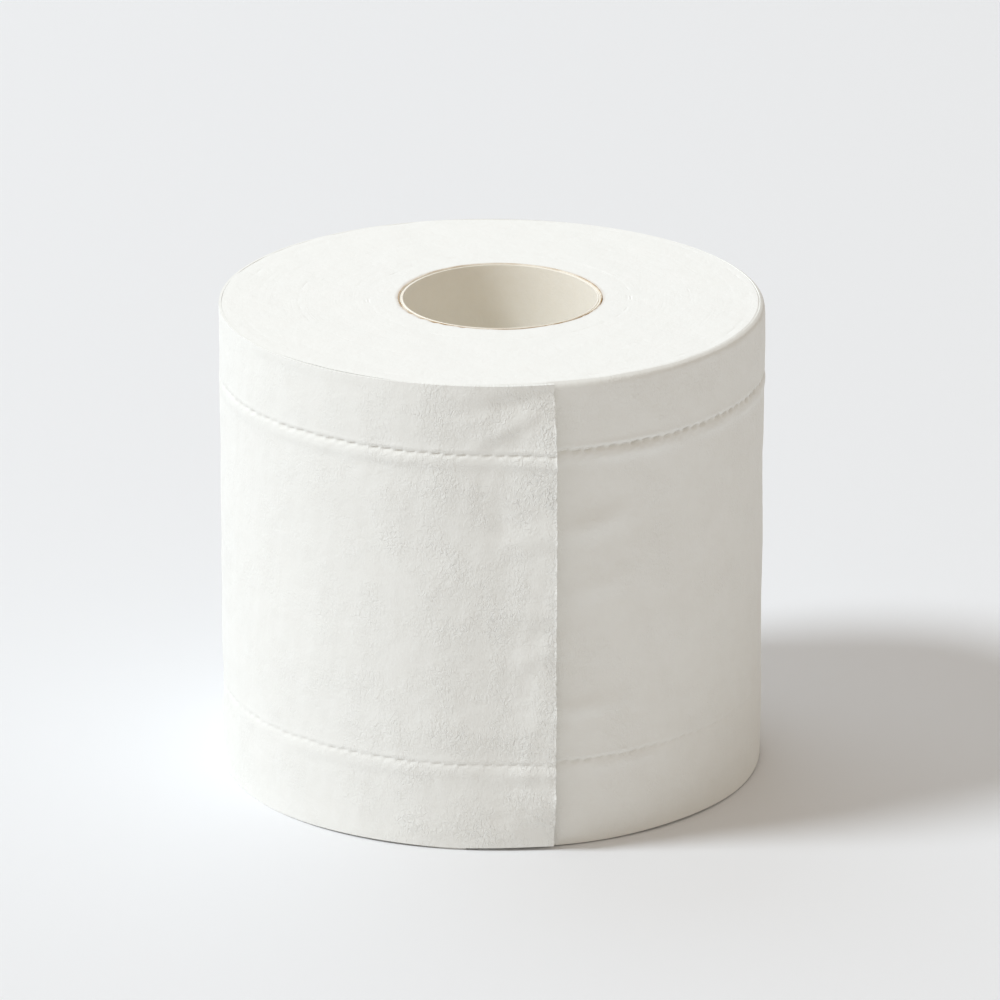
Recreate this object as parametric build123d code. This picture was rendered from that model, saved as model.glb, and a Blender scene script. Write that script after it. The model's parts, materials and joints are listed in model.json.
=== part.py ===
"""A toilet paper roll standing on its end: a card core and the paper that is wound on it.

The origin is on the core's axis, on the surface that the roll stands on. The front is at -Y.
Seen from above the sheet runs counter-clockwise and its loose end, the tail, lies at the front.
"""
from build123d import *
import math
import os

# Overall sizes, in millimetres
roll_height = 99.0
roll_diameter = 112.0
core_diameter = 42.5
core_wall = 1.1
glue_gap = 0.05

# The soft winding sits off the core's axis by this much, towards this angle from +X
winding_offset = 1.9
winding_offset_angle = 228.0
rim_softening = 0.8

# The tail: where the sheet ends, how far the outer turn stands proud of the one below it, the
# stretch that springs away straight, its thickness, how far its corners stay short of the roll's
# ends and the torn nibs that the perforation leaves along its edge
tail_angle = 282.5
tail_lift = 0.9
tail_straight = 15.0
tail_thickness = 0.5
tail_short = 0.4
nib_pitch = 4.5
nib_width = 1.1
nib_reach = 0.35

# The turns show as a spiral line on both ends
turn_pitch = 7.4
turn_line_width = 0.6
turn_line_depth = 0.2
turn_margin = 2.4

# The two crimp lines, each a ring of short pressed dashes
top_crimp_below_top = 14.2
bottom_crimp_height = 18.2
dash_pitch = 3.8
dash_length = 2.3
dash_width = 0.9
dash_depth = 0.35

core_radius = core_diameter / 2
winding_bore = core_radius + glue_gap

# The outer wall is three arcs of a two-centre spiral, whose centres lie on one line through the
# core's axis. The far half is one arc. The near half has the tail's arc up to where the tail springs
# away, and after it the arc of the turn below, smaller by the tail's lift.
far_radius = roll_diameter / 2
tail_radius = far_radius + tail_lift / 2
under_radius = far_radius - tail_lift / 2
far_centre = winding_offset + tail_lift / 4
near_centre = winding_offset - tail_lift / 4
far_start = winding_offset_angle - 180
straight_start = tail_angle - math.degrees(math.atan(tail_straight / tail_radius))


def on_line(distance):
    """The place at a distance from the core's axis along the line of the spiral's centres."""
    return Rot(0, 0, winding_offset_angle) * Pos(distance, 0, 0) * Rot(0, 0, -winding_offset_angle)


def sector(distance, radius, start, end):
    """The winding between two angles, as turned about one centre, with softened rims."""
    section = Pos(radius / 2, roll_height / 2) * Rectangle(radius, roll_height)
    section = chamfer(section.vertices().group_by(Axis.X)[-1], rim_softening)
    wedge = revolve(Plane.XZ * section, Axis.Z, end - start)
    return on_line(distance) * Rot(0, 0, start) * wedge


def wall_at(angle):
    """The wall's frame at an angle: origin on the wall, X outwards, Y along the sheet, Z up."""
    if (angle - far_start) % 360 < 180:
        distance, radius = far_centre, far_radius
    elif (angle - winding_offset_angle) % 360 < straight_start - winding_offset_angle:
        distance, radius = near_centre, tail_radius
    elif (angle - straight_start) % 360 < tail_angle - straight_start:
        return tail_at(tail_radius * math.tan(math.radians(angle - straight_start)))
    else:
        distance, radius = near_centre, under_radius
    return on_line(distance) * Rot(0, 0, angle) * Pos(radius, 0, 0)


def tail_at(reach):
    """The straight tail's frame at a distance from where it springs away, as wall_at gives it."""
    return on_line(near_centre) * Rot(0, 0, straight_start) * Pos(tail_radius, reach, 0)


def straight_tail():
    """The loose end of the sheet, which leaves the roll along a tangent with air behind it."""
    width = roll_height - 2 * tail_short
    sheet = Box(tail_thickness, tail_straight, width)
    return tail_at(tail_straight / 2) * Pos(-tail_thickness / 2, 0, roll_height / 2) * sheet


def tail_nibs():
    """The nibs of torn paper along the tail edge, evenly spaced between the corners."""
    nib = Box(tail_thickness, 2 * nib_reach, nib_width)
    edge = tail_at(tail_straight) * Pos(-tail_thickness / 2, 0, 0)
    count = int((roll_height - 2 * tail_short - nib_width) / nib_pitch)
    first = (roll_height - (count - 1) * nib_pitch) / 2
    return [edge * Pos(0, 0, first + number * nib_pitch) * nib for number in range(count)]


def turn_line(distance, radius, start):
    """Half a turn of the spiral line, as V-shaped cutters for the top and the bottom end.

    Each cutter stands out of the end as far as it goes in, so it is turn_line_width wide there.
    """
    cutters = []
    for level, inward in ((roll_height, -turn_line_depth), (0, turn_line_depth)):
        section = Polyline(
            (radius - turn_line_width, level - inward),
            (radius + turn_line_width, level - inward),
            (radius, level + inward),
            close=True,
        )
        groove = revolve(Plane.XZ * make_face(section), Axis.Z, 180)
        cutters.append(on_line(distance) * Rot(0, 0, start) * groove)
    return cutters


def turn_lines():
    """The spiral line from the rim to the core: half turns whose centres drift back to the axis."""
    outermost = under_radius - turn_margin
    innermost = winding_bore + turn_margin
    halves = int(2 * (outermost - innermost) / turn_pitch)
    drift = winding_offset / halves
    distance, radius, side = near_centre, outermost, 1
    cutters = []
    for half in range(halves):
        start = winding_offset_angle if side == 1 else far_start
        cutters += turn_line(distance, radius, start)
        step = -side * turn_pitch / 2 - drift
        distance += step
        radius += side * step
        side = -side
    return cutters


def crimp_dashes(height):
    """One crimp line: V-shaped dashes pressed into the wall all the way round.

    The cutter stands out of the wall as far as it goes in, so it is dash_width wide at the wall.
    """
    outline = Polyline((-dash_depth, 0), (dash_depth, dash_width), (dash_depth, -dash_width), close=True)
    dash = extrude(Plane.XZ * make_face(outline), dash_length / 2, both=True)
    count = round(math.pi * roll_diameter / dash_pitch)
    return [wall_at(360 * (number + 0.5) / count) * Pos(0, 0, height) * dash for number in range(count)]


def paper_winding():
    """All turns of the sheet as one solid, with its tail, crimp lines and turn lines."""
    wall = sector(far_centre, far_radius, far_start, winding_offset_angle)
    wall += sector(near_centre, tail_radius, winding_offset_angle, straight_start)
    wall += sector(near_centre, under_radius, straight_start, far_start + 360)
    wall += straight_tail()
    wall += tail_nibs()
    cutters = [Pos(0, 0, roll_height / 2) * Cylinder(winding_bore, 2 * roll_height)]
    cutters += turn_lines()
    cutters += crimp_dashes(roll_height - top_crimp_below_top)
    cutters += crimp_dashes(bottom_crimp_height)
    return wall - cutters


def core_tube():
    """The card tube, as long as the sheet is wide."""
    ring = Circle(core_radius) - Circle(core_radius - core_wall)
    return extrude(ring, roll_height)


os.makedirs("parts", exist_ok=True)
export_step(core_tube(), "parts/core_tube.step")
export_step(paper_winding(), "parts/paper_winding.step")
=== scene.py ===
"""Looks of a toilet paper roll: its card core, its wound turns and its outer turn with a loose tail.

The roll stands on its end, with the origin on the core's axis and the front at -Y. Seen from above
the sheet runs counter-clockwise, and its tail lies at the front. All lengths are in metres.
"""

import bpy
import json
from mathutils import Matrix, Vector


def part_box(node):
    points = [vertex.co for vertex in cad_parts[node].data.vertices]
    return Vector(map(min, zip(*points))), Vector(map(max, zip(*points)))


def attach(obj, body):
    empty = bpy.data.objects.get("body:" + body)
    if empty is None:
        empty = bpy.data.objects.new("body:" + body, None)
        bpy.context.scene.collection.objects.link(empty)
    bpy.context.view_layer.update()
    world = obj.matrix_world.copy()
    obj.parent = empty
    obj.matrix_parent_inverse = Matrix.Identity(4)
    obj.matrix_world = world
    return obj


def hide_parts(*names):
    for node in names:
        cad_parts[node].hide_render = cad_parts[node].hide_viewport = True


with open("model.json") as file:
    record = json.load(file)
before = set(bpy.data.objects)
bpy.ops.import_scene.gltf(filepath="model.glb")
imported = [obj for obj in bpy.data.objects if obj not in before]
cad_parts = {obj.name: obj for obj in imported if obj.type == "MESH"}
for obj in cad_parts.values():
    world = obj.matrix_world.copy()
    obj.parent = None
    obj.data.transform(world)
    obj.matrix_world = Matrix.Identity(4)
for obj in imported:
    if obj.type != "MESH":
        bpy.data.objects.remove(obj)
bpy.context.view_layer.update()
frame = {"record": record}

import json
import math
from typing import NamedTuple

import bpy
import numpy as np
from bpy.props import FloatProperty, FloatVectorProperty, IntProperty, PointerProperty

bl_info = {
    "name": "Toilet Paper Roll",
    "version": (1, 0, 0),
    "blender": (4, 5, 0),
    "location": "View3D > Sidebar > Paper Roll",
    "description": "Models the card core, the wound turns and the outer turn of a toilet paper roll",
    "category": "Mesh",
}

MM = 0.001
FULL_TURN = 2 * math.pi

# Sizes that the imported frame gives
winding_low, winding_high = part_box("paper_winding")
core_low, core_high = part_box("core_tube")
ROLL_HEIGHT = winding_high.z
ROLL_DIAMETER = round((winding_high.x - winding_low.x + winding_high.y - winding_low.y) / 2, 3)
CORE_DIAMETER = core_high.x - core_low.x
BORE_DIAMETER = next(
    2 * mount["dims"]["r_mm"] * MM for mount in frame["record"]["mounts"] if mount["name"] == "core_bore"
)


def linear(hex_colour):
    """An sRGB hex colour as linear red, green and blue."""
    channels = [int(hex_colour[place:place + 2], 16) / 255 for place in (1, 3, 5)]
    return [c / 12.92 if c <= 0.04045 else ((c + 0.055) / 1.055) ** 2.4 for c in channels]


class RollSizes(bpy.types.PropertyGroup):
    """Sizes of the roll and of what shows on its surface."""

    height: FloatProperty(
        name="Height", description="Width of the sheet, which is the roll's height",
        default=ROLL_HEIGHT, unit='LENGTH')
    diameter: FloatProperty(
        name="Diameter", description="Mean diameter of the winding",
        default=ROLL_DIAMETER, unit='LENGTH')
    core_diameter: FloatProperty(
        name="Core diameter", description="Outside diameter of the card core",
        default=CORE_DIAMETER, unit='LENGTH')
    bore_diameter: FloatProperty(
        name="Bore diameter", description="Inside diameter of the card core",
        default=BORE_DIAMETER, unit='LENGTH')
    core_oval: FloatProperty(
        name="Core oval", description="How far the soft core bulges out of round towards the back",
        default=1.6 * MM, unit='LENGTH')
    offset: FloatProperty(
        name="Winding offset", description="How far the soft winding's middle lies off the core's axis",
        default=1.9 * MM, unit='LENGTH')
    offset_angle: FloatProperty(
        name="Offset angle", description="Direction of the winding's offset, from +X",
        default=math.radians(228), subtype='ANGLE')
    sheet_thickness: FloatProperty(
        name="Sheet thickness", description="Thickness of the soft sheet of several plies",
        default=0.36 * MM, unit='LENGTH')
    tail_angle: FloatProperty(
        name="Tail angle", description="Where the sheet ends, from +X",
        default=math.radians(282.5), subtype='ANGLE')
    tail_lift: FloatProperty(
        name="Tail lift", description="Height of the outer turn's outside over the turn below it",
        default=0.9 * MM, unit='LENGTH')
    tail_straight: FloatProperty(
        name="Tail length", description="Last stretch of the sheet, which springs away straight",
        default=15 * MM, unit='LENGTH')
    tail_flare: FloatProperty(
        name="Tail flare", description="How far the tail curls out towards its edge",
        default=0.7 * MM, unit='LENGTH')
    tuck_dashes: IntProperty(
        name="Tuck", description="How far the outer turn goes on under its own tail, in crimp dashes",
        default=7)
    turns: IntProperty(
        name="Turns", description="Turns of the sheet that show on each end", default=52)
    turn_groove: FloatProperty(
        name="Turn groove", description="Depth of the clearer grooves between two turns on an end",
        default=0.03 * MM, unit='LENGTH')
    top_crimp: FloatProperty(
        name="Upper crimp", description="Distance of the upper crimp line below the top end",
        default=14.2 * MM, unit='LENGTH')
    bottom_crimp: FloatProperty(
        name="Lower crimp", description="Height of the lower crimp line over the bottom end",
        default=18.2 * MM, unit='LENGTH')
    dashes: IntProperty(
        name="Dashes", description="Crimp dashes in one turn of the sheet", default=136)
    dash_depth: FloatProperty(
        name="Dash depth", description="How deep each crimp dash is pressed",
        default=0.41 * MM, unit='LENGTH')
    rim_round: FloatProperty(
        name="Rim radius", description="Rounding of the soft upper rim",
        default=1.5 * MM, unit='LENGTH')
    foot_lift: FloatProperty(
        name="Foot lift", description="How far the outer turn's lower edge stays over the floor",
        default=0.42 * MM, unit='LENGTH')
    tail_foot_lift: FloatProperty(
        name="Tail foot lift", description="How much further the tail's lower corner stays over the floor",
        default=0.35 * MM, unit='LENGTH')


class RollColours(bpy.types.PropertyGroup):
    """Colours of the roll and of the floor."""

    tissue: FloatVectorProperty(
        name="Tissue", description="White of the tissue",
        default=linear("#F8F9F6"), subtype='COLOR')
    tissue_thin: FloatVectorProperty(
        name="Thin tissue", description="White of the tissue where its fibres lie thin",
        default=linear("#F2F2EE"), subtype='COLOR')
    # Colour of the crimp dashes: partly the greyer tissue where its fibres are pressed dense, partly painted
    # shade in the dash hollows.
    pressed_tissue_and_dash_shade: FloatVectorProperty(
        name="Pressed tissue", description="Tissue pressed dense in the crimp dashes",
        default=linear("#D6D4CE"), subtype='COLOR')
    tissue_cut: FloatVectorProperty(
        name="Cut tissue", description="White of the tissue's cut edges",
        default=linear("#FAFAF7"), subtype='COLOR')
    card: FloatVectorProperty(
        name="Card", description="Pale cream of the core's card",
        default=linear("#FFFCF4"), subtype='COLOR')
    card_fleck: FloatVectorProperty(
        name="Card flecks", description="Darker fibres in the card",
        default=linear("#FBF6EA"), subtype='COLOR')
    glue: FloatVectorProperty(
        name="Glue", description="Tan of the glue line between the core and the paper",
        default=linear("#AD8A58"), subtype='COLOR')
    floor: FloatVectorProperty(
        name="Floor", description="Pale floor", default=linear("#EDEEF0"), subtype='COLOR')


class RollStage(bpy.types.PropertyGroup):
    """Camera and light."""

    camera_elevation: FloatProperty(
        name="Camera elevation", description="How steeply the camera looks down",
        default=math.radians(19.47), subtype='ANGLE')
    camera_distance: FloatProperty(
        name="Camera distance", description="From the camera to the point it looks at",
        default=1.5638, unit='LENGTH')
    lens: FloatProperty(
        name="Lens", description="Focal length in millimetres on a sensor 36 mm wide",
        default=272.4, unit='CAMERA')
    look_at: FloatVectorProperty(
        name="Look at", description="Point in the middle of the picture",
        default=(0.2 * MM, -1.4 * MM, 55.3 * MM), subtype='XYZ', unit='LENGTH')
    key_azimuth: FloatProperty(
        name="Key azimuth", description="Direction that the key light comes from, from +X",
        default=math.radians(193), subtype='ANGLE')
    key_elevation: FloatProperty(
        name="Key elevation", description="Height of the key light over the floor, as an angle",
        default=math.radians(49.5), subtype='ANGLE')
    key_distance: FloatProperty(
        name="Key distance", description="From the roll to the key light", default=6.0, unit='LENGTH')
    key_size: FloatProperty(
        name="Key size", description="Width of the key light", default=1.53, unit='LENGTH')
    key_level: FloatProperty(
        name="Key level", description="Key light on a surface that faces it, where 1 lights white to white",
        default=0.645)
    key_colour: FloatVectorProperty(
        name="Key colour", description="Cool white of the key light",
        default=linear("#F0F8FF"), subtype='COLOR')
    back_azimuth: FloatProperty(
        name="Back azimuth", description="Direction that the large lamp behind the roll lights from",
        default=math.radians(120), subtype='ANGLE')
    back_elevation: FloatProperty(
        name="Back elevation", description="Height of the lamp behind the roll, as an angle",
        default=math.radians(50), subtype='ANGLE')
    back_distance: FloatProperty(
        name="Back distance", description="From the roll to the lamp behind it", default=3.6, unit='LENGTH')
    back_size: FloatProperty(
        name="Back size", description="Width of the lamp behind the roll", default=3.0, unit='LENGTH')
    back_level: FloatProperty(
        name="Back level", description="Light of the lamp behind the roll, where 1 lights white to white",
        default=0.175)
    back_colour: FloatVectorProperty(
        name="Back colour", description="Cool colour of the lamp behind the roll",
        default=linear("#DBEEFF"), subtype='COLOR')
    fill_level: FloatProperty(
        name="Fill level", description="Even light from all round, where 1 lights white to white",
        default=0.462)
    fill_colour: FloatVectorProperty(
        name="Fill colour", description="Warm colour of the even light",
        default=linear("#FFF2E2"), subtype='COLOR')
    sky: FloatVectorProperty(
        name="Background", description="What the camera sees past the floor",
        default=linear("#EFF0F2"), subtype='COLOR')


class CrimpLine(NamedTuple):
    """A crimp line: its height, how firmly it is pressed, and the share it loses on the right."""

    height: float
    press: float
    right_fading: float


class Fold(NamedTuple):
    """A soft fold in the outer turn: a ridge of gentle slopes, placed from the tail edge."""

    beside: float
    height: float
    length: float
    width: float
    turn: float
    rise: float


# Folds beside the tail edge, to its right where beside is over 0. One with a rise under 0 is a hollow.
FOLDS = (
    Fold(8 * MM, 68.5 * MM, 7 * MM, 2.3 * MM, math.radians(12), 1.0 * MM),
    Fold(6 * MM, 29.4 * MM, 7 * MM, 1.5 * MM, math.radians(4), 0.7 * MM),
    Fold(9 * MM, 55 * MM, 6 * MM, 1.6 * MM, math.radians(12), 0.4 * MM),
    Fold(-6 * MM, 66.8 * MM, 7 * MM, 2.2 * MM, math.radians(14), 0.48 * MM),
    Fold(-5 * MM, 50.5 * MM, 6 * MM, 2.2 * MM, math.radians(8), 0.32 * MM),
    Fold(-5 * MM, 41.5 * MM, 6 * MM, 2.0 * MM, math.radians(25), 0.35 * MM),
    Fold(-7 * MM, 15.5 * MM, 8 * MM, 1.8 * MM, math.radians(6), 0.28 * MM),
    Fold(-8 * MM, 91.5 * MM, 9 * MM, 1.6 * MM, math.radians(30), 0.45 * MM),
    Fold(-13 * MM, 95 * MM, 13 * MM, 1.6 * MM, math.radians(8), -0.35 * MM),
    Fold(-61 * MM, 66.5 * MM, 4.5 * MM, 0.7 * MM, math.radians(45), 0.20 * MM),
)


def roll_sizes():
    """The sizes that are set for this scene."""
    return bpy.context.scene.roll_sizes


def points_of(mesh):
    """The places of a mesh's vertices, one row each."""
    places = np.empty(3 * len(mesh.vertices), dtype=np.float32)
    mesh.vertices.foreach_get("co", places)
    return places.reshape(-1, 3).astype(float)


def move_points(mesh, places):
    """Puts a mesh's vertices where the rows of places say."""
    mesh.vertices.foreach_set("co", np.ascontiguousarray(places, dtype=np.float32).ravel())
    mesh.update()


def add_attribute(mesh, name, kind, values):
    """Keeps a number or a place for each vertex, for a material to read."""
    attribute = mesh.attributes.new(name, kind, 'POINT')
    key = "value" if kind == 'FLOAT' else "vector"
    attribute.data.foreach_set(key, np.ascontiguousarray(values, dtype=np.float32).ravel())


def named_primitive(name):
    """The primitive that was added last, with its name and its mesh's name set."""
    piece = bpy.context.object
    piece.name = name
    piece.data.name = name
    return piece


def select_open_edges():
    """Selects the open edges of the mesh in edit mode, and nothing else."""
    bpy.ops.mesh.select_mode(type='EDGE')
    bpy.ops.mesh.select_all(action='DESELECT')
    bpy.ops.mesh.select_non_manifold(
        extend=False, use_wire=False, use_boundary=True, use_multi_face=False,
        use_non_contiguous=False, use_verts=False)


def select_edges(mesh, chosen):
    """Selects the edges that chosen is true for, in object mode, and nothing else."""
    mesh.polygons.foreach_set("select", np.zeros(len(mesh.polygons), dtype=bool))
    mesh.vertices.foreach_set("select", np.zeros(len(mesh.vertices), dtype=bool))
    mesh.edges.foreach_set("select", chosen)


def select_faces(mesh, chosen):
    """Selects the faces that chosen is true for, in object mode, and nothing else."""
    mesh.vertices.foreach_set("select", np.zeros(len(mesh.vertices), dtype=bool))
    mesh.edges.foreach_set("select", np.zeros(len(mesh.edges), dtype=bool))
    mesh.polygons.foreach_set("select", chosen)


def edge_ends(mesh):
    """The two vertex numbers of each edge."""
    ends = np.empty(2 * len(mesh.edges), dtype=np.int32)
    mesh.edges.foreach_get("vertices", ends)
    return ends.reshape(-1, 2)


def smooth_step(value):
    """Rises smoothly from 0 to 1 as value does."""
    share = np.clip(value, 0, 1)
    return share * share * (3 - 2 * share)


def ridge(distance, width):
    """A soft ridge across a distance, 1 high at its middle."""
    return np.exp(-(distance / width) ** 2)


def unevenness(across, up, shortest, longest, seed):
    """Soft hills and hollows between two wavelengths, about 1 high."""
    random = np.random.default_rng(seed)
    waves = 14
    total = np.zeros_like(across)
    for _ in range(waves):
        number = FULL_TURN / random.uniform(shortest, longest)
        heading = random.uniform(0, math.pi)
        phase = random.uniform(0, FULL_TURN)
        total += np.sin(number * (across * math.cos(heading) + up * math.sin(heading)) + phase)
    return total / math.sqrt(waves)


def finish_piece(piece, node, material, smooth_angle):
    """Shades a piece, gives it its material and ties it to the frame."""
    bpy.ops.object.shade_smooth_by_angle(angle=smooth_angle)
    piece.data.materials.append(material)
    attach(piece, "root")
    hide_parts(node)


def add_node(tree, kind, inputs=(), **settings):
    """Adds one node. Settings are its own properties, inputs are values or links for its sockets."""
    node = tree.nodes.new(kind)
    for name, value in settings.items():
        setattr(node, name, value)
    for socket, value in dict(inputs).items():
        if isinstance(value, bpy.types.NodeSocket):
            tree.links.new(value, node.inputs[socket])
        else:
            node.inputs[socket].default_value = value
    return node


def new_material(name):
    """A material with no nodes yet, and its node tree."""
    material = bpy.data.materials.new(name)
    material.use_nodes = True
    material.node_tree.nodes.clear()
    return material, material.node_tree


def crepe_tissue_material():
    """Dry-creped tissue: countless tiny wrinkles, made as a blade scrapes the sheet off a drying drum.
    To the eye it is a soft white with no gloss, a fine worm-like grain that comes and goes in patches
    and is strongest on the slack tail, shallow puckers, cloudy fibres and darker crimp dashes: greyer
    where the fibres are pressed together, and darkened further by painted shade in the dash hollows.
    """
    wrinkle_width, wrinkle_length, wrinkle_height = 0.75 * MM, 1.0 * MM, 0.18 * MM
    pucker_size, pucker_height = 4 * MM, 0.16 * MM
    patch_size, cloud_size = 9 * MM, 5 * MM
    crumpled_edge, slack_reach = 3 * MM, 50 * MM
    colours = bpy.context.scene.roll_colours
    material, tree = new_material("crepe_tissue")
    place = add_node(tree, "ShaderNodeAttribute", attribute_name="sheet_place")
    stretched = add_node(tree, "ShaderNodeMapping", {
        "Vector": place.outputs["Vector"],
        "Scale": (1 / wrinkle_width, 1 / wrinkle_width, 1 / wrinkle_length)})
    wrinkles = add_node(tree, "ShaderNodeTexNoise", {
        "Vector": stretched.outputs["Vector"], "Scale": 1.0,
        "Detail": 2.5, "Roughness": 0.55, "Distortion": 1.2})
    patches = add_node(tree, "ShaderNodeTexNoise", {
        "Vector": place.outputs["Vector"], "Scale": 1 / patch_size, "Detail": 2.0})
    patched = add_node(tree, "ShaderNodeMapRange", {
        "Value": patches.outputs["Fac"], "From Min": 0.40, "From Max": 0.65, "To Min": 0.3, "To Max": 1.4})
    split = add_node(tree, "ShaderNodeSeparateXYZ", {0: place.outputs["Vector"]})
    crumpled = add_node(tree, "ShaderNodeMapRange", {
        "Value": split.outputs["X"], "From Min": 0.0, "From Max": crumpled_edge,
        "To Min": 0.9, "To Max": 0.0})
    slack = add_node(tree, "ShaderNodeMapRange", {
        "Value": split.outputs["X"], "From Min": 0.0, "From Max": slack_reach,
        "To Min": 1.8, "To Max": 0.7})
    strength = add_node(tree, "ShaderNodeMath", {
        0: patched.outputs["Result"], 1: slack.outputs["Result"], 2: crumpled.outputs["Result"]},
        operation='MULTIPLY_ADD')
    grain = add_node(tree, "ShaderNodeMath", {
        0: wrinkles.outputs["Fac"], 1: strength.outputs[0]}, operation='MULTIPLY')
    puckers = add_node(tree, "ShaderNodeTexNoise", {
        "Vector": place.outputs["Vector"], "Scale": 1 / pucker_size, "Detail": 2.0, "Distortion": 0.5})
    clouds = add_node(tree, "ShaderNodeTexNoise", {
        "Vector": place.outputs["Vector"], "Scale": 1 / cloud_size, "Detail": 4.0, "Roughness": 0.6})
    tint = add_node(tree, "ShaderNodeMix", {
        0: clouds.outputs["Fac"], 6: (*colours.tissue_thin, 1), 7: (*colours.tissue, 1)}, data_type='RGBA')
    pressed = add_node(tree, "ShaderNodeAttribute", attribute_name="pressed")
    # Painted shade: the crimp dashes get darker the deeper they are pressed, partly for the denser tissue
    # there and partly as shade painted into their hollows.
    dense_and_shaded = add_node(tree, "ShaderNodeMapRange", {
        "Value": pressed.outputs["Fac"], "From Min": 0.0, "From Max": 2.2})
    dashes_with_painted_shade = add_node(tree, "ShaderNodeMix", {
        0: dense_and_shaded.outputs["Result"], 6: tint.outputs[2], 7: (*colours.pressed_tissue_and_dash_shade, 1)}, data_type='RGBA')
    pucker_bump = add_node(tree, "ShaderNodeBump", {
        "Height": puckers.outputs["Fac"], "Strength": 1.0, "Distance": pucker_height})
    bump = add_node(tree, "ShaderNodeBump", {
        "Height": grain.outputs["Value"], "Strength": 1.0, "Distance": wrinkle_height,
        "Normal": pucker_bump.outputs["Normal"]})
    shader = add_node(tree, "ShaderNodeBsdfPrincipled", {
        "Base Color": dashes_with_painted_shade.outputs[2], "Roughness": 0.95, "Specular IOR Level": 0.15, "IOR": 1.5,
        "Sheen Weight": 0.1, "Sheen Roughness": 0.6, "Normal": bump.outputs["Normal"]})
    add_node(tree, "ShaderNodeOutputMaterial", {"Surface": shader.outputs["BSDF"]})
    return material


def cut_turns_material():
    """The cut ends of the tissue's turns: a log of paper sawn across. To the eye it is a soft, dull
    white with a felt of cut fibres, faint lines that run with the turns and break off, and a tan
    tint that fades out within a short reach of the core.
    """
    fibre_size, fibre_height = 0.7 * MM, 0.07 * MM
    pucker_size, pucker_height = 2.5 * MM, 0.12 * MM
    streak_size, streak_height = 4 * MM, 0.06 * MM
    cloud_size, near_core_reach = 6 * MM, 0.7 * MM
    colours = bpy.context.scene.roll_colours
    material, tree = new_material("cut_tissue_turns")
    turn = add_node(tree, "ShaderNodeAttribute", attribute_name="turn")
    place = add_node(tree, "ShaderNodeTexCoord")
    lines = add_node(tree, "ShaderNodeTexNoise", {
        "W": turn.outputs["Fac"], "Scale": 1.3, "Detail": 2.0, "Roughness": 0.6}, noise_dimensions='1D')
    patches = add_node(tree, "ShaderNodeTexNoise", {
        "Vector": place.outputs["Object"], "Scale": 1 / streak_size, "Detail": 2.0})
    strength = add_node(tree, "ShaderNodeMapRange", {
        "Value": patches.outputs["Fac"], "From Min": 0.45, "From Max": 0.7})
    streaks = add_node(tree, "ShaderNodeMath", {
        0: lines.outputs["Fac"], 1: strength.outputs["Result"]}, operation='MULTIPLY')
    puckers = add_node(tree, "ShaderNodeTexNoise", {
        "Vector": place.outputs["Object"], "Scale": 1 / pucker_size, "Detail": 2.0, "Distortion": 0.5})
    fibres = add_node(tree, "ShaderNodeTexNoise", {
        "Vector": place.outputs["Object"], "Scale": 1 / fibre_size, "Detail": 3.0, "Roughness": 0.65})
    clouds = add_node(tree, "ShaderNodeTexNoise", {
        "Vector": place.outputs["Object"], "Scale": 1 / cloud_size, "Detail": 4.0, "Roughness": 0.6})
    tint = add_node(tree, "ShaderNodeMix", {
        0: clouds.outputs["Fac"], 6: (*colours.tissue, 1), 7: (*colours.tissue_cut, 1)}, data_type='RGBA')
    from_core = add_node(tree, "ShaderNodeAttribute", attribute_name="from_core")
    # Tinted towards the glue colour next to the core, fading out a little way from it.
    near_core_tint = add_node(tree, "ShaderNodeMapRange", {
        "Value": from_core.outputs["Fac"], "From Min": 0.0, "From Max": near_core_reach,
        "To Min": 0.35, "To Max": 0.0})
    near_core_tinted = add_node(tree, "ShaderNodeMix", {
        0: near_core_tint.outputs["Result"], 6: tint.outputs[2], 7: (*colours.glue, 1)}, data_type='RGBA')
    streak_bump = add_node(tree, "ShaderNodeBump", {
        "Height": streaks.outputs["Value"], "Strength": 1.0, "Distance": streak_height})
    pucker_bump = add_node(tree, "ShaderNodeBump", {
        "Height": puckers.outputs["Fac"], "Strength": 1.0, "Distance": pucker_height,
        "Normal": streak_bump.outputs["Normal"]})
    bump = add_node(tree, "ShaderNodeBump", {
        "Height": fibres.outputs["Fac"], "Strength": 1.0, "Distance": fibre_height,
        "Normal": pucker_bump.outputs["Normal"]})
    shader = add_node(tree, "ShaderNodeBsdfPrincipled", {
        "Base Color": near_core_tinted.outputs[2], "Roughness": 0.95, "Specular IOR Level": 0.15, "IOR": 1.5,
        "Sheen Weight": 0.1, "Sheen Roughness": 0.6, "Normal": bump.outputs["Normal"]})
    add_node(tree, "ShaderNodeOutputMaterial", {"Surface": shader.outputs["BSDF"]})
    return material


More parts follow.
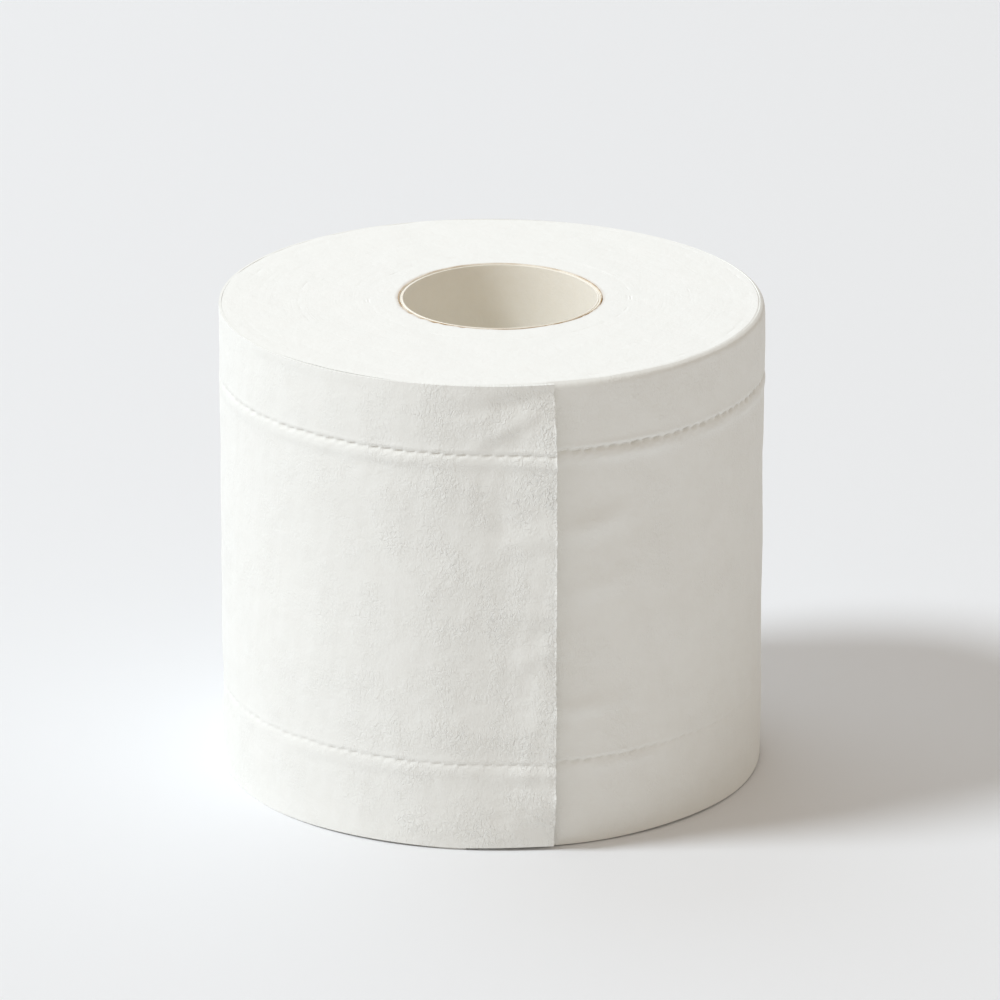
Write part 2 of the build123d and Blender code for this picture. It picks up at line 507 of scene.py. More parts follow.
def wound_card_material(sizes):
    """Core board: pale recycled card in plies, wound in a spiral with glue. To the eye it is a matte
    cream with slightly darker fibres, and a thin tan line of glue round its outside.
    """
    fleck_size = 1.6 * MM
    fibre_size, fibre_height = 0.5 * MM, 0.04 * MM
    glue_line, glue_fade, glue_patch = 0.22 * MM, 0.15 * MM, 5 * MM
    wall = (sizes.core_diameter - sizes.bore_diameter) / 2
    colours = bpy.context.scene.roll_colours
    material, tree = new_material("wound_core_board")
    place = add_node(tree, "ShaderNodeTexCoord")
    in_wall = add_node(tree, "ShaderNodeAttribute", attribute_name="in_wall")
    glued = add_node(tree, "ShaderNodeMapRange", {
        "Value": in_wall.outputs["Fac"],
        "From Min": wall - glue_line - glue_fade, "From Max": wall - glue_line})
    spread = add_node(tree, "ShaderNodeTexNoise", {
        "Vector": place.outputs["Object"], "Scale": 1 / glue_patch, "Detail": 3.0})
    amount = add_node(tree, "ShaderNodeMapRange", {
        "Value": spread.outputs["Fac"], "From Min": 0.35, "From Max": 0.65, "To Min": 0.3, "To Max": 1.0})
    glue = add_node(tree, "ShaderNodeMath", {
        0: glued.outputs["Result"], 1: amount.outputs["Result"]}, operation='MULTIPLY')
    flecks = add_node(tree, "ShaderNodeTexNoise", {
        "Vector": place.outputs["Object"], "Scale": 1 / fleck_size, "Detail": 4.0, "Roughness": 0.65})
    fibres = add_node(tree, "ShaderNodeTexNoise", {
        "Vector": place.outputs["Object"], "Scale": 1 / fibre_size, "Detail": 2.0})
    inside = add_node(tree, "ShaderNodeMix", {
        0: flecks.outputs["Fac"], 6: (*colours.card_fleck, 1), 7: (*colours.card, 1)}, data_type='RGBA')
    tint = add_node(tree, "ShaderNodeMix", {
        0: glue.outputs["Value"], 6: inside.outputs[2], 7: (*colours.glue, 1)}, data_type='RGBA')
    bump = add_node(tree, "ShaderNodeBump", {
        "Height": fibres.outputs["Fac"], "Strength": 1.0, "Distance": fibre_height})
    shader = add_node(tree, "ShaderNodeBsdfPrincipled", {
        "Base Color": tint.outputs[2], "Roughness": 0.85, "Specular IOR Level": 0.3, "IOR": 1.5,
        "Normal": bump.outputs["Normal"]})
    add_node(tree, "ShaderNodeOutputMaterial", {"Surface": shader.outputs["BSDF"]})
    return material


def winding_middle(sizes):
    """The middle of the outer turn, off the core's axis."""
    return sizes.offset * math.cos(sizes.offset_angle), sizes.offset * math.sin(sizes.offset_angle)


def sheet_radius(angle, sizes):
    """Radius of the sheet's outside about the winding's middle, at an angle that counts on past a turn.

    The sheet climbs by the tail's lift in each turn, as half turns about two centres do.
    """
    past = angle - sizes.offset_angle
    half_turns = np.floor(past / math.pi)
    swing = np.where(half_turns % 2 == 0, -1, 1) * np.cos(past)
    return sizes.diameter / 2 + sizes.tail_lift * ((half_turns + 1) / 2 + swing / 4)


def sheet_course(back, height, sizes):
    """Angle and radius of the plain sheet's outside, by its distance back from the tail edge and height.

    The tail leaves the spiral along a tangent and runs straight to its edge. It is free at its middle,
    less so at its foot, and at the top it lies on the turn below.
    """
    held_top, held_foot, foot_freedom = 16 * MM, 12 * MM, 0.4
    edge_radius = sheet_radius(np.array(sizes.tail_angle), sizes)
    spring = sizes.tail_angle - math.atan(sizes.tail_straight / edge_radius)
    spring_radius = sheet_radius(np.array(spring), sizes)
    reach = sizes.tail_straight - back
    straight = np.maximum(reach, 0)
    angle = spring + np.where(reach > 0, np.arctan(straight / spring_radius), reach / (sizes.diameter / 2))
    free = smooth_step((sizes.height - height) / held_top)
    free = free * (foot_freedom + (1 - foot_freedom) * smooth_step(height / held_foot))
    return angle, sheet_radius(angle, sizes) + free * (np.hypot(spring_radius, straight) - spring_radius)


def outer_turn_length(sizes):
    """Length of the outer turn's sheet from its tail edge to its hidden end under the tail."""
    return math.pi * sizes.diameter * (1 + sizes.tuck_dashes / sizes.dashes)


def rim_curl(back, sizes):
    """How far the upper rim bends in, from 0 to 1: a little on the left, more on the right, and not at
    the tail or on the hidden end under it.
    """
    flat_tail, bending, left_share, hidden = 20 * MM, 20 * MM, 0.15, 4 * MM
    right_start, right_bending = 150 * MM, 80 * MM
    past_turn = back - math.pi * sizes.diameter
    bent = left_share * smooth_step((back - flat_tail) / bending)
    bent = bent + (1 - left_share) * smooth_step((back - right_start) / right_bending)
    return bent * smooth_step(1 - past_turn / hidden)


def rim_gap(back):
    """How far the outer turn's upper edge stands off the turns below it, from 0 to 1: left of the tail."""
    middle, reach = 47 * MM, 14 * MM
    return ridge(back - middle, reach)


def spun_section(name, section, steps, start):
    """A closed section of radius and height, spun a full turn about the axis from an angle.

    The first and the last copy of the section lie on each other and aren't merged. Also gives the
    angle that each vertex has been turned through.
    """
    bpy.ops.object.select_all(action='DESELECT')
    bpy.ops.mesh.primitive_circle_add(vertices=len(section), radius=1, fill_type='NOTHING')
    piece = named_primitive(name)
    radius, height = np.array(section).T
    move_points(piece.data, np.stack((radius * math.cos(start), radius * math.sin(start), height), axis=1))
    bpy.ops.object.mode_set(mode='EDIT')
    bpy.ops.mesh.select_all(action='SELECT')
    bpy.ops.mesh.spin(steps=steps, angle=FULL_TURN, center=(0, 0, 0), axis=(0, 0, 1), use_auto_merge=False)
    bpy.ops.object.mode_set(mode='OBJECT')
    copy_number = np.arange(len(piece.data.vertices)) // len(section)
    return piece, FULL_TURN * copy_number / steps


def close_mesh(join_distance):
    """Merges doubles, fills the holes that are left and turns all faces outwards."""
    bpy.ops.object.mode_set(mode='EDIT')
    bpy.ops.mesh.select_all(action='SELECT')
    bpy.ops.mesh.remove_doubles(threshold=join_distance)
    select_open_edges()
    bpy.ops.mesh.fill_holes(sides=0)
    bpy.ops.mesh.select_all(action='SELECT')
    bpy.ops.mesh.normals_make_consistent(inside=False)
    bpy.ops.mesh.select_all(action='DESELECT')
    bpy.ops.object.mode_set(mode='OBJECT')


def card_core_section(sizes):
    """The tube's section: straight walls and, at each end, plies that the cut left uneven."""
    ply_drops = (0.10 * MM, 0.20 * MM, 0.0)
    groove, bevel, wall_rows = 0.25 * MM, 0.05 * MM, 24
    plies = len(ply_drops)
    inner, outer = sizes.bore_diameter / 2, sizes.core_diameter / 2
    ply = (outer - inner) / plies
    top = []
    for number, drop in enumerate(ply_drops):
        level = sizes.height - drop
        start = inner + number * ply
        end = start + ply
        top += [(start + bevel, level - bevel), (start + ply / 2, level), (end - bevel, level - bevel)]
        if number < plies - 1:
            top.append((end, level - groove))
    bottom = [(radius, sizes.height - height) for radius, height in reversed(top)]
    heights = np.linspace(0, sizes.height, wall_rows + 2)[1:-1]
    inside = [(inner, height) for height in heights]
    outside = [(outer, height) for height in heights[::-1]]
    return inside + top + outside + bottom


def out_of_round(across, along, sizes):
    """Moves places near the core: the soft tube bulges to the back and is pressed in a little on the left."""
    fade, left_share = 24 * MM, 0.3
    radius = np.hypot(across, along)
    near = smooth_step(1 - (radius - sizes.core_diameter / 2) / fade)
    to_back = np.clip(along / radius, 0, 1) ** 2
    to_left = np.clip(-across / radius, 0, 1) ** 2
    return across + left_share * sizes.core_oval * near * to_left, along + sizes.core_oval * near * to_back


def make_card_core():
    """The card tube, with its plies at the cut ends and the seam of its spiral winding inside."""
    sizes = roll_sizes()
    steps = 192
    seam_turns, seam_depth, seam_fade = 0.8, 0.12 * MM, math.radians(18)
    piece, turned = spun_section("card_core", card_core_section(sizes), steps, start=0)
    places = points_of(piece.data)
    radius = np.hypot(places[:, 0], places[:, 1])
    inside = radius < (sizes.core_diameter + sizes.bore_diameter) / 4
    # The inner ply's edge is a step that fades out along the ply, and it climbs in a spiral
    step = inside * (1 - smooth_step((FULL_TURN - turned) / seam_fade)) * seam_depth
    step = np.where(turned >= FULL_TURN, 0, step)
    angle = turned + seam_turns * FULL_TURN * places[:, 2] / sizes.height
    add_attribute(piece.data, "in_wall", 'FLOAT', radius - sizes.bore_diameter / 2)
    radius = radius - step
    across, along = out_of_round(radius * np.cos(angle), radius * np.sin(angle), sizes)
    move_points(piece.data, np.stack((across, along, places[:, 2]), axis=1))
    close_mesh(join_distance=0.001 * MM)
    finish_piece(piece, "core_tube", wound_card_material(sizes), smooth_angle=math.radians(35))


def turn_radius(turn, sizes, first, last):
    """Radius of a turn of the spiral, counted from the core.

    The outer turns lie looser: their pitch grows by a smooth step up to the tail's lift.
    """
    loose_turns = 10
    count = sizes.turns
    share = np.clip((turn - (count - loose_turns)) / loose_turns, 0, 1)
    looseness = loose_turns * (share ** 3 - share ** 4 / 2)
    tight_pitch = (last - first - sizes.tail_lift * loose_turns / 2) / (count - loose_turns / 2)
    return first + tight_pitch * turn + (sizes.tail_lift - tight_pitch) * looseness


def wound_section(bore, rings, sizes):
    """Section of the wound turns: a ring for each crest and groove of both ends, and the wall between.

    The rings stand a millimetre apart, so that each one's number can be read back.
    """
    wall_drop = 1.6 * MM
    top = [(bore + MM * number, sizes.height) for number in range(rings + 1)]
    bottom = [(radius, 0) for radius, _ in reversed(top)]
    wall = bore + MM * (rings + 1)
    return top + [(wall, sizes.height - wall_drop), (wall, wall_drop)] + bottom


def end_hollows(ring, turn, across, along, sizes):
    """How far places lie below the flat end: soft hills, the ragged bore and the grooves of the turns.

    Few grooves are clear, and none all the way round.
    """
    hills, ragged = 0.09 * MM, 0.20 * MM
    contrast, faint, patchy, clearest = 1.3, 0.1, 0.7, 2
    drop = hills * (1 + unevenness(across, along, 6 * MM, 24 * MM, seed=3)) / 2
    drop += ragged * (ring == 0) * (1 + unevenness(across, along, 1.0 * MM, 4 * MM, seed=13)) / 2
    clear = np.clip(contrast * unevenness(turn, 0 * turn, 1.5, 4, seed=23) - faint, 0, clearest)
    clear *= np.clip(patchy + unevenness(across, along, 4 * MM, 13 * MM, seed=7), 0, clearest)
    return drop + sizes.turn_groove * clear * (ring % 2 == 1)


def make_wound_turns():
    """All turns but the outer one: on both ends each turn runs on into the next one, as it is wound.

    A section with a ridge for each turn is spun once. Each turn climbs by one pitch on the way, so
    that its end meets the start of the next turn and merges with it.
    """
    sizes = roll_sizes()
    steps = 360
    rings = 2 * sizes.turns - 1
    first_gap, play, glue_overlap = 0.12 * MM, 0.10 * MM, 0.02 * MM
    rim_turns, rim_blend, rim_shift, rim_drop = 1.6, 0.6, 0.30 * MM, 0.27 * MM
    gap_turns, gap_shift = 2.2, 0.5 * MM
    bore = sizes.core_diameter / 2 - glue_overlap
    start = float(sheet_course(np.array(outer_turn_length(sizes)), 0, sizes)[0]) + FULL_TURN
    first = bore + first_gap
    outside = float(sheet_radius(np.array(start), sizes))
    last = outside - sizes.sheet_thickness - play
    piece, turned = spun_section("wound_turns", wound_section(bore, rings, sizes), steps, start)
    places = points_of(piece.data)
    ring = np.rint((np.hypot(places[:, 0], places[:, 1]) - bore) / MM).astype(int)
    at_bore, on_wall = ring == 0, ring == rings + 1
    # Which turn each ring starts on, and how far it has climbed
    turn = (np.clip(ring, 1, rings) - 1) / 2 + turned / FULL_TURN
    radius = np.where(at_bore, bore, turn_radius(turn, sizes, first, last))
    share = (radius - bore) / (last - bore)
    # The outermost turn goes in and down under the sheet's bent rim, and leaves a gap on the left
    under_rim = smooth_step((turn - sizes.turns + rim_turns) / rim_blend)
    back = outer_turn_length(sizes) - turned * sizes.diameter / 2
    under_rim *= rim_curl(back, sizes)
    radius = np.where(on_wall, radius, radius - rim_shift * under_rim)
    radius = radius - gap_shift * rim_gap(back) * smooth_step((turn - sizes.turns) / gap_turns + 1)
    middle = winding_middle(sizes)
    angle = start + turned
    across = share * middle[0] + radius * np.cos(angle)
    along = share * middle[1] + radius * np.sin(angle)
    drop = rim_drop * under_rim + end_hollows(ring, turn, across, along, sizes)
    towards_middle = np.where(places[:, 2] > sizes.height / 2, -1, 1)
    height = places[:, 2] + np.where(on_wall, 0, towards_middle * np.maximum(drop, 0))
    across, along = out_of_round(across, along, sizes)
    move_points(piece.data, np.stack((across, along, height), axis=1))
    add_attribute(piece.data, "turn", 'FLOAT', turn)
    add_attribute(piece.data, "from_core", 'FLOAT', radius - bore)
    close_mesh(join_distance=0.002 * MM)
    finish_piece(piece, "paper_winding", cut_turns_material(), smooth_angle=math.radians(18))


def sheet_rows(sizes, lines):
    """Heights of the outer turn's rows, close together at the crimp lines and at the rims."""
    rows, trial_heights = 112, 4000
    widest, at_line, at_rim = 1.5 * MM, 0.17 * MM, 0.20 * MM
    line_growth, rim_growth = 0.12, 0.30
    height = np.linspace(0, sizes.height, trial_heights)
    spacing = np.full(height.shape, widest)
    for line in lines:
        spacing = np.minimum(spacing, at_line + line_growth * abs(height - line.height))
    for rim in (0, sizes.height):
        spacing = np.minimum(spacing, at_rim + rim_growth * abs(height - rim))
    count = np.cumsum(1 / spacing)
    return np.interp(np.linspace(count[0], count[-1], rows + 1), count, height)


def crimp_dashes(along, beside, above, sizes):
    """How far the dashes of a crimp line are pressed in at each place, about 1 at the deepest.

    Each dash is deepest along its upper edge, which leans up to the right, with a low lump below it. Two
    waves out of step with the dashes press them unevenly. They are fainter on the tail and on the left,
    and a little deeper right of the tail.
    """
    mean_press, press_spread, wander = 0.74, 0.32, 0.10 * MM
    dash_gap, dash_ramp, dash_lean = 0.0625, 0.25, 0.18
    lump, lump_below, lump_width = 0.30, 0.95 * MM, 0.42 * MM
    steep_side, gentle_side, right_side = 0.22 * MM, 0.45 * MM, 0.30 * MM
    tail_fading, tail_reach = 0.40, 22 * MM
    left_fading, left_middle, left_reach = 0.65, 105 * MM, 42 * MM
    firmer, firm_end, firm_blend = 0.15, 150 * MM, 60 * MM
    quick_wave, slow_wave, slow_start = 2.4, 1.1, 0.6
    wander_wave, wander_start = 1.7, 0.9
    pitch = math.pi * sizes.diameter / sizes.dashes
    number = np.floor(along / pitch).astype(int)
    phase = along / pitch - number
    uneven = press_spread * np.sin(quick_wave * number) * np.cos(slow_wave * number + slow_start)
    pressed = mean_press + uneven
    right_of_tail = 1 + firmer * smooth_step((firm_end - beside) / firm_blend)
    left_of_tail = 1 - tail_fading * ridge(beside, tail_reach)
    left_of_tail -= left_fading * ridge(beside + left_middle, left_reach)
    pressed = pressed * np.where(beside > 0, right_of_tail, left_of_tail)
    edge = above - wander * np.sin(wander_wave * number + wander_start)
    edge = edge - dash_lean * (phase - 0.5) * pitch
    lower_side = np.where(beside > 0, right_side, gentle_side)
    across = np.where(edge > 0, ridge(edge, steep_side), ridge(edge, lower_side))
    across = across - lump * ridge(edge + lump_below, lump_width)
    window = smooth_step((np.minimum(phase, 1 - phase) - dash_gap) / dash_ramp)
    return pressed * window * across


def crimp_relief(along, beside, above):
    """Relief along a crimp line: a soft valley between two swellings, which fade on the left."""
    valley_depth, valley_width = 0.10 * MM, 0.5 * MM
    upper_swelling, upper_above, upper_width = 0.10 * MM, 0.8 * MM, 0.5 * MM
    lower_swelling, lower_below, lower_width = 0.34 * MM, 1.9 * MM, 1.2 * MM
    left_share, left_fading, left_middle, left_reach = 0.9, 0.6, 105 * MM, 42 * MM
    uneven = 0.35
    soft = 1 + uneven * unevenness(along, 0 * along, 7 * MM, 25 * MM, seed=17)
    left_of_tail = left_share - left_fading * ridge(beside + left_middle, left_reach)
    soft = soft * np.where(beside > 0, 1, left_of_tail)
    relief = soft * upper_swelling * ridge(above - upper_above, upper_width)
    relief += soft * lower_swelling * ridge(above + lower_below, lower_width)
    return relief - soft * valley_depth * ridge(above, valley_width)


def fold_relief(beside, height):
    """Relief of the folds beside the tail edge."""
    relief = np.zeros_like(beside)
    for fold in FOLDS:
        right, up = beside - fold.beside, height - fold.height
        lengthwise = right * math.cos(fold.turn) + up * math.sin(fold.turn)
        crosswise = up * math.cos(fold.turn) - right * math.sin(fold.turn)
        relief += fold.rise * ridge(lengthwise, fold.length) * ridge(crosswise, fold.width)
    return relief


def sheet_relief(back, height, lines, sizes):
    """How far the outer turn's surface stands out of the plain spiral, by place on the sheet.

    Also gives how far the crimp dashes are pressed in there.
    """
    hills, small_hills, hill_rim = 0.12 * MM, 0.03 * MM, 3 * MM
    flutter, flutter_reach, flutter_rim = 0.20 * MM, 8 * MM, 10 * MM
    curl_reach, fold_rim = 12 * MM, 2 * MM
    fringe, fringe_reach, mean_fray, most_fray = 0.10 * MM, 0.6 * MM, 0.5, 2
    right_middle, right_reach = 55 * MM, 35 * MM
    turn_length = math.pi * sizes.diameter
    along = sizes.tail_angle * sizes.diameter / 2 - back
    beside = np.where(back > turn_length / 2, turn_length - back, -back)
    from_rim = np.minimum(height, sizes.height - height)
    relief = hills * unevenness(along, height, 12 * MM, 45 * MM, seed=11)
    relief += small_hills * unevenness(along, height, 4 * MM, 10 * MM, seed=12)
    relief *= smooth_step(from_rim / hill_rim)
    pressed = np.zeros_like(relief)
    for line in lines:
        above = height - line.height
        firmness = line.press * (1 - line.right_fading * ridge(beside - right_middle, right_reach))
        relief += firmness * crimp_relief(along, beside, above)
        pressed += firmness * crimp_dashes(along, beside, above, sizes)
    relief -= sizes.dash_depth * pressed
    relief += fold_relief(beside, height) * smooth_step(from_rim / fold_rim)
    loose = smooth_step(from_rim / flutter_rim)
    waves = unevenness(0 * height, height, 9 * MM, 26 * MM, seed=5)
    relief += loose * flutter * waves * ridge(back, flutter_reach)
    relief += loose * sizes.tail_flare * (1 - smooth_step(back / curl_reach))
    frayed = np.clip(mean_fray + unevenness(0 * height, height, 2.6 * MM, 7 * MM, seed=6), 0, most_fray)
    return relief + fringe * frayed * np.clip(1 - back / fringe_reach, 0, 1) ** 2, pressed


def place_sheet(back, height, relief, sizes):
    """Places of the outer turn's outside, one row each. Its upper edge bends in along the soft rim."""
    rim_bend, flat_short = math.pi / 4, 0.05 * MM
    foot_hills, tail_foot = 0.12 * MM, 12 * MM
    left_foot, right_foot, foot_fade, foot_gap = 70 * MM, 150 * MM, 40 * MM, 0.03 * MM
    angle, radius = sheet_course(back, height, sizes)
    rim_start = sizes.height - rim_bend * sizes.rim_round
    bend = np.clip((height - rim_start) / sizes.rim_round, 0, rim_bend)
    curl = rim_curl(back, sizes)
    radius = radius + relief - curl * sizes.rim_round * (1 - np.cos(bend))
    share = np.minimum(height, rim_start) / rim_start
    turn_length = math.pi * sizes.diameter
    lifted = smooth_step((left_foot - back) / foot_fade)
    lifted = lifted + smooth_step((back - turn_length + right_foot) / foot_fade)
    foot = sizes.foot_lift + foot_hills * unevenness(back, 0 * back, 25 * MM, 70 * MM, seed=19)
    foot = foot_gap + lifted * foot + sizes.tail_foot_lift * ridge(back, tail_foot)
    upright = (sizes.rim_round - flat_short) * bend / rim_bend
    level = foot + share * (sizes.height - sizes.rim_round - foot)
    level = level + upright + curl * (sizes.rim_round * np.sin(bend) - upright)
    middle = winding_middle(sizes)
    return np.stack((middle[0] + radius * np.cos(angle), middle[1] + radius * np.sin(angle), level), axis=1)


def sheet_places(mesh):
    """The place of each vertex on the flat sheet: distance back from the tail edge, 0 and height."""
    values = np.empty(3 * len(mesh.vertices), dtype=np.float32)
    mesh.attributes["sheet_place"].data.foreach_get("vector", values)
    return values.reshape(-1, 3)


def thicken_sheet(piece, sizes):
    """Gives the open sheet its thickness: its border is turned in and the inner side is bridged.

    Along its upper edge the tail is thick enough to reach the turn below.
    """
    rim_rise, rim_overlap = 0.30 * MM, 0.15 * MM
    puff_overlap, past_tuck = 0.02 * MM, 3 * MM
    bpy.ops.object.mode_set(mode='EDIT')
    select_open_edges()
    bpy.ops.mesh.extrude_edges_move()
    bpy.ops.object.mode_set(mode='OBJECT')
    mesh = piece.data
    inner = np.zeros(len(mesh.vertices), dtype=bool)
    mesh.vertices.foreach_get("select", inner)
    places = points_of(mesh)
    out = places - np.array([*winding_middle(sizes), 0])
    out[:, 2] = 0
    out /= np.linalg.norm(out, axis=1)[:, None]
    back, _, height = sheet_places(mesh).T
    upper = height >= height.max()
    over_tuck = back < outer_turn_length(sizes) - math.pi * sizes.diameter + past_tuck
    inset = sizes.sheet_thickness + rim_overlap * upper * (1 - rim_gap(back))
    inset = np.where(upper & over_tuck, sizes.tail_lift + puff_overlap, inset)
    places[inner] -= inset[inner, None] * out[inner]
    places[:, 2] += rim_rise * rim_curl(back, sizes) * (inner & upper)
    move_points(mesh, places)
    ends = edge_ends(mesh)
    on_border = inner[ends].all(axis=1)
    between = (back[ends] > back.min()).all(axis=1) & (back[ends] < back.max()).all(axis=1)
    select_edges(mesh, on_border & between)
    bpy.ops.object.mode_set(mode='EDIT')
    bpy.ops.mesh.bridge_edge_loops()
    bpy.ops.object.mode_set(mode='OBJECT')


def along_tail(sizes):
    """The direction in which the sheet runs at its tail."""
    return np.array([-math.sin(sizes.tail_angle), math.cos(sizes.tail_angle), 0])


def at_tail_edge(mesh):
    """Which vertices lie on the tail's edge, and which faces make it up."""
    points = sheet_places(mesh)[:, 0] <= 0
    return points, np.array([all(points[list(face.vertices)]) for face in mesh.polygons])


def tear_edge(piece, sizes):
    """Divides the tail's edge finely and tears it a little out of line."""
    tear = 0.06 * MM
    mesh = piece.data
    select_faces(mesh, at_tail_edge(mesh)[1])
    bpy.ops.object.mode_set(mode='EDIT')
    bpy.ops.mesh.select_mode(type='FACE')
    bpy.ops.mesh.subdivide(number_cuts=2)
    bpy.ops.object.mode_set(mode='OBJECT')
    at_edge = at_tail_edge(mesh)[0]
    places = points_of(mesh)
    torn = tear * unevenness(0 * places[:, 2], places[:, 2], 0.9 * MM, 3 * MM, seed=21)
    places[at_edge] += torn[at_edge, None] * along_tail(sizes)
    move_points(mesh, places)


def pull_nibs(piece, sizes):
    """Pulls the nibs that the perforation leaves out of the tail's edge, unevenly spaced."""
    shortest, longest = 0.06 * MM, 0.30 * MM
    closest, widest = 0.8 * MM, 3.0 * MM
    taper = 0.4
    random = np.random.default_rng(8)
    mesh = piece.data
    edge_faces = [mesh.polygons[number] for number in np.flatnonzero(at_tail_edge(mesh)[1])]
    edge_faces.sort(key=lambda face: face.center.z)
    chosen = np.zeros(len(mesh.polygons), dtype=bool)
    middles = []
    next_height = closest
    for face in edge_faces:
        if face.center.z >= next_height:
            chosen[face.index] = True
            middles.append(face.center.z)
            next_height = face.center.z + random.uniform(closest, widest)
    select_faces(mesh, chosen)
    bpy.ops.object.mode_set(mode='EDIT')
    bpy.ops.mesh.select_mode(type='FACE')
    bpy.ops.mesh.extrude_faces_move()
    bpy.ops.object.mode_set(mode='OBJECT')
    tips = np.zeros(len(mesh.vertices), dtype=bool)
    mesh.vertices.foreach_get("select", tips)
    places = points_of(mesh)
    nib = np.abs(places[tips, 2][:, None] - np.array(middles)).argmin(axis=1)
    middle = np.array(middles)[nib]
    reach = random.uniform(shortest, longest, len(middles))[nib]
    places[tips] += reach[:, None] * along_tail(sizes)
    places[tips, 2] = middle + taper * (places[tips, 2] - middle)
    move_points(mesh, places)


def sheet_columns(sizes):
    """Distances of the outer turn's columns from the tail edge: close together at the edge, even all
    the way round and far apart on the hidden end.
    """
    at_edge = np.array([0, 0.12, 0.28, 0.5]) * MM
    columns_per_dash, hidden_columns = 6, 8
    turn_length = math.pi * sizes.diameter
    even = turn_length / (sizes.dashes * columns_per_dash)
    hidden = np.linspace(turn_length, outer_turn_length(sizes), hidden_columns)
    return np.concatenate((at_edge, np.arange(2 * even, turn_length - even / 2, even), hidden))


def make_outer_turn():
    """The outer turn of the sheet with its loose tail, crimp lines, folds and torn edge."""
    sizes = roll_sizes()
    upper_line = CrimpLine(sizes.height - sizes.top_crimp, press=1.0, right_fading=0.0)
    lower_line = CrimpLine(sizes.bottom_crimp, press=0.6, right_fading=0.8)
    lines = (upper_line, lower_line)
    rows = sheet_rows(sizes, lines)
    columns = sheet_columns(sizes)
    bpy.ops.object.select_all(action='DESELECT')
    bpy.ops.mesh.primitive_grid_add(x_subdivisions=len(columns) - 1, y_subdivisions=len(rows) - 1, size=2)
    piece = named_primitive("outer_turn")
    flat = points_of(piece.data)
    back = np.interp(-flat[:, 0], np.linspace(-1, 1, len(columns)), columns)
    height = np.interp(flat[:, 1], np.linspace(-1, 1, len(rows)), rows)
    relief, pressed = sheet_relief(back, height, lines, sizes)
    move_points(piece.data, place_sheet(back, height, relief, sizes))
    # The press of the dashes also sets the painted shade that darkens them in the crepe material.
    add_attribute(piece.data, "pressed", 'FLOAT', pressed)
    add_attribute(piece.data, "sheet_place", 'FLOAT_VECTOR', np.stack((back, 0 * back, height), axis=1))
    thicken_sheet(piece, sizes)
    close_mesh(join_distance=0.0001 * MM)
    tear_edge(piece, sizes)
    pull_nibs(piece, sizes)
    finish_piece(piece, "paper_winding", crepe_tissue_material(), smooth_angle=math.radians(50))


def make_floor():
    """A wide pale floor that sweeps up into a backdrop far behind the roll."""
    colours = bpy.context.scene.roll_colours
    half_width, wall_height, sweep = 4.0, 2.5, 1.2
    bpy.ops.object.select_all(action='DESELECT')
    bpy.ops.mesh.primitive_plane_add(size=2 * half_width)
    floor = named_primitive("floor")
    far = [all(floor.data.vertices[number].co.y > 0 for number in edge.vertices) for edge in floor.data.edges]
    select_edges(floor.data, far)
    bpy.ops.object.mode_set(mode='EDIT')
    bpy.ops.mesh.select_mode(type='EDGE')
    bpy.ops.mesh.extrude_edges_move(TRANSFORM_OT_translate={"value": (0, 0, wall_height)})
    bpy.ops.object.mode_set(mode='OBJECT')
    corner = [
        all(floor.data.vertices[number].co.y > 0 and floor.data.vertices[number].co.z < sweep
            for number in edge.vertices)
        for edge in floor.data.edges]
    select_edges(floor.data, corner)
    bpy.ops.object.mode_set(mode='EDIT')
    bpy.ops.mesh.bevel(offset=sweep, segments=24)
    bpy.ops.object.mode_set(mode='OBJECT')
    bpy.ops.object.shade_smooth()
    material, tree = new_material("matte_backdrop_paper")
    shader = add_node(tree, "ShaderNodeBsdfPrincipled", {
        "Base Color": (*colours.floor, 1), "Roughness": 0.9, "Specular IOR Level": 0.1})
    add_node(tree, "ShaderNodeOutputMaterial", {"Surface": shader.outputs["BSDF"]})
    floor.data.materials.append(material)


def add_lamp(name, azimuth, elevation, distance, size, level, colour):
    """A round soft lamp that faces the roll. Its level is the light on a surface that faces it there."""
    light = bpy.data.lights.new(name, 'AREA')
    light.shape = 'DISK'
    light.size = size
    light.color = colour
    light.energy = level * (math.pi * distance) ** 2
    lamp = bpy.data.objects.new(name, light)
    outward = distance * math.cos(elevation)
    lamp.location = (
        outward * math.cos(azimuth), outward * math.sin(azimuth), distance * math.sin(elevation))
    lamp.rotation_euler = (math.pi / 2 - elevation, 0, azimuth + math.pi / 2)
    bpy.context.scene.collection.objects.link(lamp)


def add_lamps(stage):
    """A key light high on the left and a little to the front, and a large weak one behind the roll."""
    add_lamp("key_light", stage.key_azimuth, stage.key_elevation, stage.key_distance,
             stage.key_size, stage.key_level, stage.key_colour)
    add_lamp("back_light", stage.back_azimuth, stage.back_elevation, stage.back_distance,
             stage.back_size, stage.back_level, stage.back_colour)


def add_even_light(stage):
    """Even light from all round, with a pale background where the camera looks past the floor."""
    world = bpy.data.worlds.new("studio")
    world.use_nodes = True
    tree = world.node_tree
    tree.nodes.clear()
    rays = add_node(tree, "ShaderNodeLightPath")
    fill = add_node(tree, "ShaderNodeBackground", {
        "Color": (*stage.fill_colour, 1), "Strength": stage.fill_level})
    seen = add_node(tree, "ShaderNodeBackground", {"Color": (*stage.sky, 1), "Strength": 1.0})
    either = add_node(tree, "ShaderNodeMixShader", {
        0: rays.outputs["Is Camera Ray"], 1: fill.outputs[0], 2: seen.outputs[0]})
    add_node(tree, "ShaderNodeOutputWorld", {0: either.outputs[0]})
    bpy.context.scene.world = world


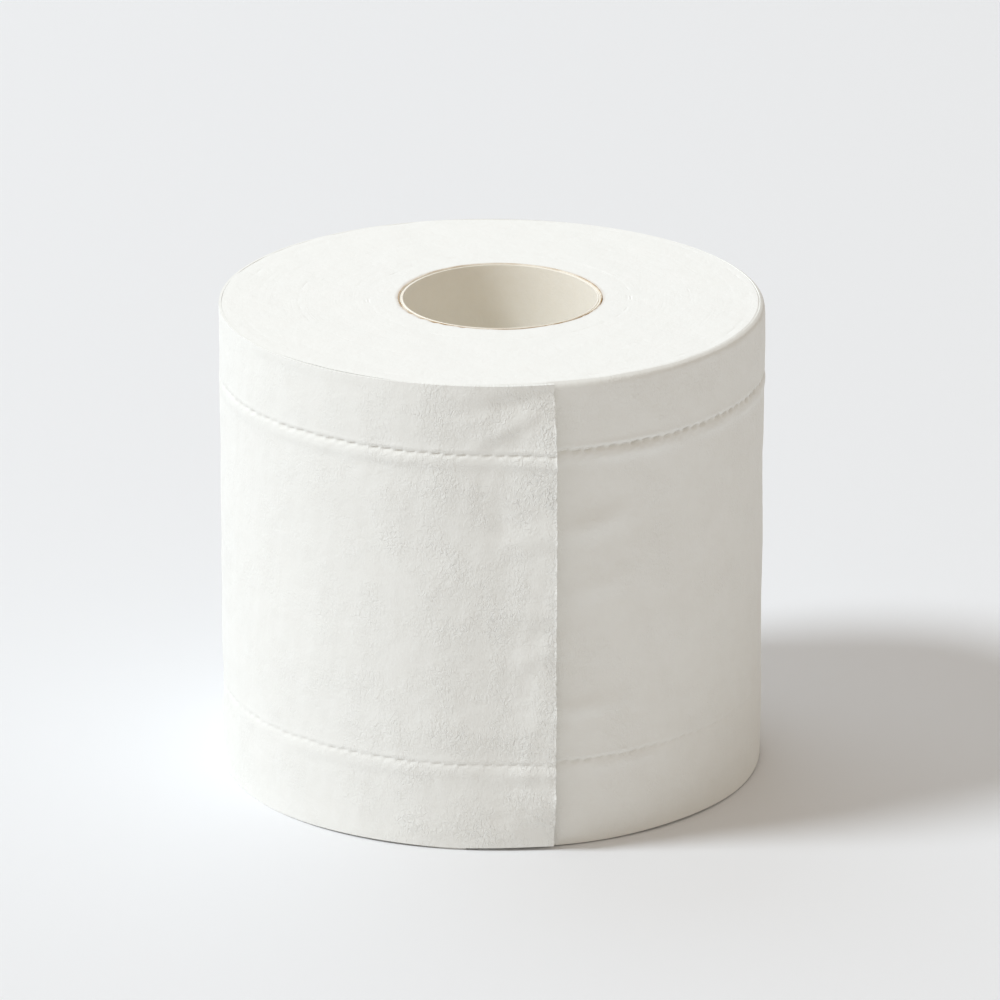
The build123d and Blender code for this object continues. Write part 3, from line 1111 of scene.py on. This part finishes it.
def add_camera(stage):
    """A long lens from the front, looking down on the roll."""
    lens = bpy.data.cameras.new("camera")
    lens.lens = stage.lens
    lens.sensor_width = 36
    lens.clip_end = 20
    camera = bpy.data.objects.new("camera", lens)
    target = stage.look_at
    camera.location = (
        target[0],
        target[1] - stage.camera_distance * math.cos(stage.camera_elevation),
        target[2] + stage.camera_distance * math.sin(stage.camera_elevation))
    camera.rotation_euler = (math.pi / 2 - stage.camera_elevation, 0, 0)
    bpy.context.scene.collection.objects.link(camera)
    bpy.context.scene.camera = camera


class PAPER_ROLL_OT_stage(bpy.types.Operator):
    """Set up the floor, the light and the camera"""

    bl_idname = "paper_roll.stage"
    bl_label = "Stage"

    def execute(self, context):
        stage = context.scene.roll_stage
        make_floor()
        add_lamps(stage)
        add_even_light(stage)
        add_camera(stage)
        context.scene.view_settings.view_transform = 'Standard'
        return {'FINISHED'}


class PAPER_ROLL_OT_card_core(bpy.types.Operator):
    """Model the card tube that the sheet is wound on"""

    bl_idname = "paper_roll.card_core"
    bl_label = "Card Core"

    def execute(self, context):
        make_card_core()
        return {'FINISHED'}


class PAPER_ROLL_OT_wound_turns(bpy.types.Operator):
    """Model the turns that show on both ends"""

    bl_idname = "paper_roll.wound_turns"
    bl_label = "Wound Turns"

    def execute(self, context):
        make_wound_turns()
        return {'FINISHED'}


class PAPER_ROLL_OT_outer_turn(bpy.types.Operator):
    """Model the outer turn with its crimp lines, folds and torn tail"""

    bl_idname = "paper_roll.outer_turn"
    bl_label = "Outer Turn"

    def execute(self, context):
        make_outer_turn()
        return {'FINISHED'}


OPERATORS = (
    PAPER_ROLL_OT_stage,
    PAPER_ROLL_OT_card_core,
    PAPER_ROLL_OT_wound_turns,
    PAPER_ROLL_OT_outer_turn,
)


class PAPER_ROLL_PT_panel(bpy.types.Panel):
    """Lists the pieces of the roll"""

    bl_idname = "PAPER_ROLL_PT_panel"
    bl_label = "Paper Roll"
    bl_space_type = 'VIEW_3D'
    bl_region_type = 'UI'
    bl_category = "Paper Roll"

    def draw(self, context):
        for operator in OPERATORS:
            self.layout.operator(operator.bl_idname)


SETTINGS = {"roll_sizes": RollSizes, "roll_colours": RollColours, "roll_stage": RollStage}


def register():
    """Registers the settings, the operators and the panel."""
    for made in (*SETTINGS.values(), *OPERATORS, PAPER_ROLL_PT_panel):
        bpy.utils.register_class(made)
    for name, group in SETTINGS.items():
        setattr(bpy.types.Scene, name, PointerProperty(type=group))


def unregister():
    """Takes the panel, the operators and the settings away again."""
    for name in SETTINGS:
        delattr(bpy.types.Scene, name)
    for made in (PAPER_ROLL_PT_panel, *reversed(OPERATORS), *reversed(SETTINGS.values())):
        bpy.utils.unregister_class(made)


def main():
    """Makes the stage and every piece."""
    register()
    bpy.ops.paper_roll.stage()
    bpy.ops.paper_roll.card_core()
    bpy.ops.paper_roll.wound_turns()
    bpy.ops.paper_roll.outer_turn()


if __name__ == "__main__":
    main()
